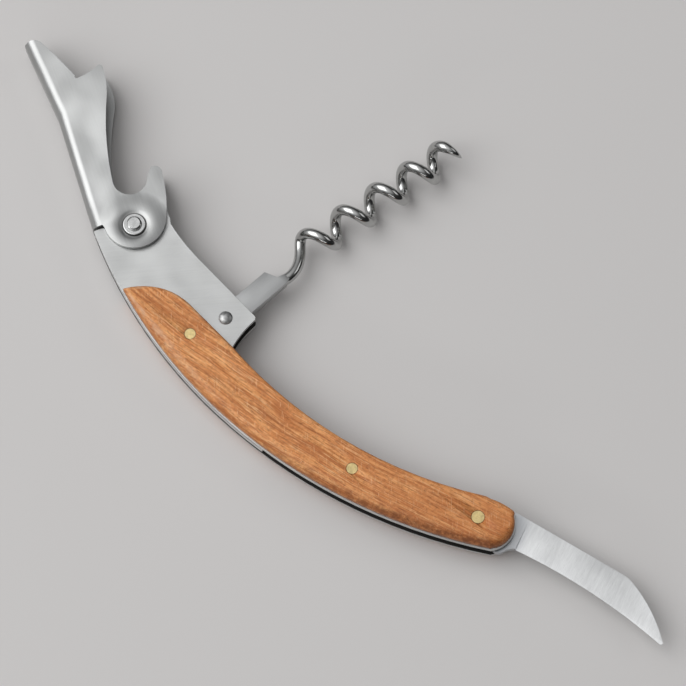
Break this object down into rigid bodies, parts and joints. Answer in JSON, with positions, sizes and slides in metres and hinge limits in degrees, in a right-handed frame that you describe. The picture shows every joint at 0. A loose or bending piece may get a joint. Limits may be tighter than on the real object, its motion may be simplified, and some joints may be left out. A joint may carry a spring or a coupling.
{
  "type": "waiter's corkscrew",
  "caption": "Folding waiter's corkscrew with wooden scales, opened out: boot lever with cap-lifter notch, open-helix worm and hawkbill foil blade.",
  "frame": {"origin": "middle of the open tool's bounding box, on the flat outer face of the rear wooden scale, which it rests on", "axes": "+X runs from the lever's pivot to the blade's pivot, +Y towards the worm's side, +Z through the handle's thickness, up from the face it rests on"},
  "size_m": [0.205, 0.0842, 0.0104],
  "materials": {
    "liner_steel": "stainless sheet, brushed along the handle",
    "scale_wood": "orange-brown hardwood, oiled, straight grain with dark pores",
    "spacer_steel": "steel bar, finely polished along its edge",
    "spring_steel": "spring steel, finely polished",
    "pin_brass": "brass, ground flush with the wood",
    "pin_steel": "polished steel",
    "washer_steel": "polished steel collar",
    "washer_brass": "thin brass washer",
    "lever_steel": "stainless sheet, lightly brushed",
    "worm_steel": "polished steel wire with a duller flat tang",
    "blade_steel": "stainless, ground across the blade"
  },
  "bodies": {
    "handle": {"front_liner": "liner_steel", "rear_liner": "liner_steel", "front_scale": "scale_wood", "rear_scale": "scale_wood", "back_spacer": "spacer_steel", "back_spring": "spring_steel", "upper_handle_pin": "pin_brass", "lower_handle_pin": "pin_brass", "blade_pin": "pin_brass", "worm_pin": "pin_steel", "lever_rivet": "pin_steel", "front_rivet_washer": "washer_steel", "rear_rivet_washer": "washer_steel", "front_worm_washer": "washer_brass", "rear_worm_washer": "washer_brass", "front_blade_washer": "washer_brass", "rear_blade_washer": "washer_brass"},
    "lever": {"lever": "lever_steel"},
    "worm": {"worm": "worm_steel"},
    "blade": {"blade": "blade_steel"}
  },
  "joints": [
    {"name": "lever_pivot", "type": "hinge", "parent": "handle", "child": "lever", "pos_m": [-0.05196, -0.02192, 0.0052], "axis": [0, 0, 1], "range_deg": [-98, 2]},
    {"name": "worm_pivot", "type": "hinge", "parent": "handle", "child": "worm", "pos_m": [-0.02106, -0.02432, 0.0052], "axis": [0, 0, 1], "range_deg": [-71, 0]},
    {"name": "blade_pivot", "type": "hinge", "parent": "handle", "child": "blade", "pos_m": [0.05344, -0.02162, 0.0052], "axis": [0, 0, 1], "range_deg": [-164, 0]}
  ]
}
